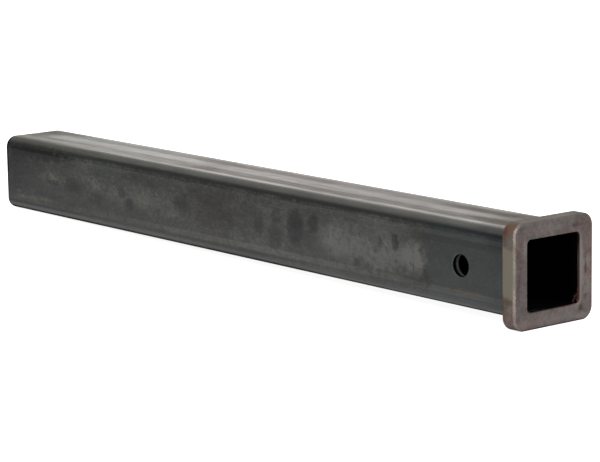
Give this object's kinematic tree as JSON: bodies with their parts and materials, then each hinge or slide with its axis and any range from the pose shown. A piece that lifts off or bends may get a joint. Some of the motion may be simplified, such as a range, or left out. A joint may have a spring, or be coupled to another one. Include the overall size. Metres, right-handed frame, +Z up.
{
  "type": "receiver tube",
  "caption": "Square steel receiver tube for a trailer hitch, bare mill finish, with a forged collar round its mouth and a hole across it for the hitch pin.",
  "frame": {"origin": "middle of the mouth, on the collar's front face", "axes": "+X out of the mouth along the tube, +Z up, and the pin hole runs across along Y"},
  "size_m": [0.65, 0.077, 0.077],
  "materials": {
    "tube_steel": "bare rolled steel with dark blue-grey mill scale, cloudy tan smudges and a few rusty streaks",
    "collar_steel": "bare forged steel, brown-grey scale with light rust at the corners and pale worn edges",
    "weld_metal": "ground weld, dull and slightly rusty"
  },
  "bodies": {
    "root": {"tube": "tube_steel", "collar": "collar_steel", "collar_weld": "weld_metal"}
  },
  "joints": []
}
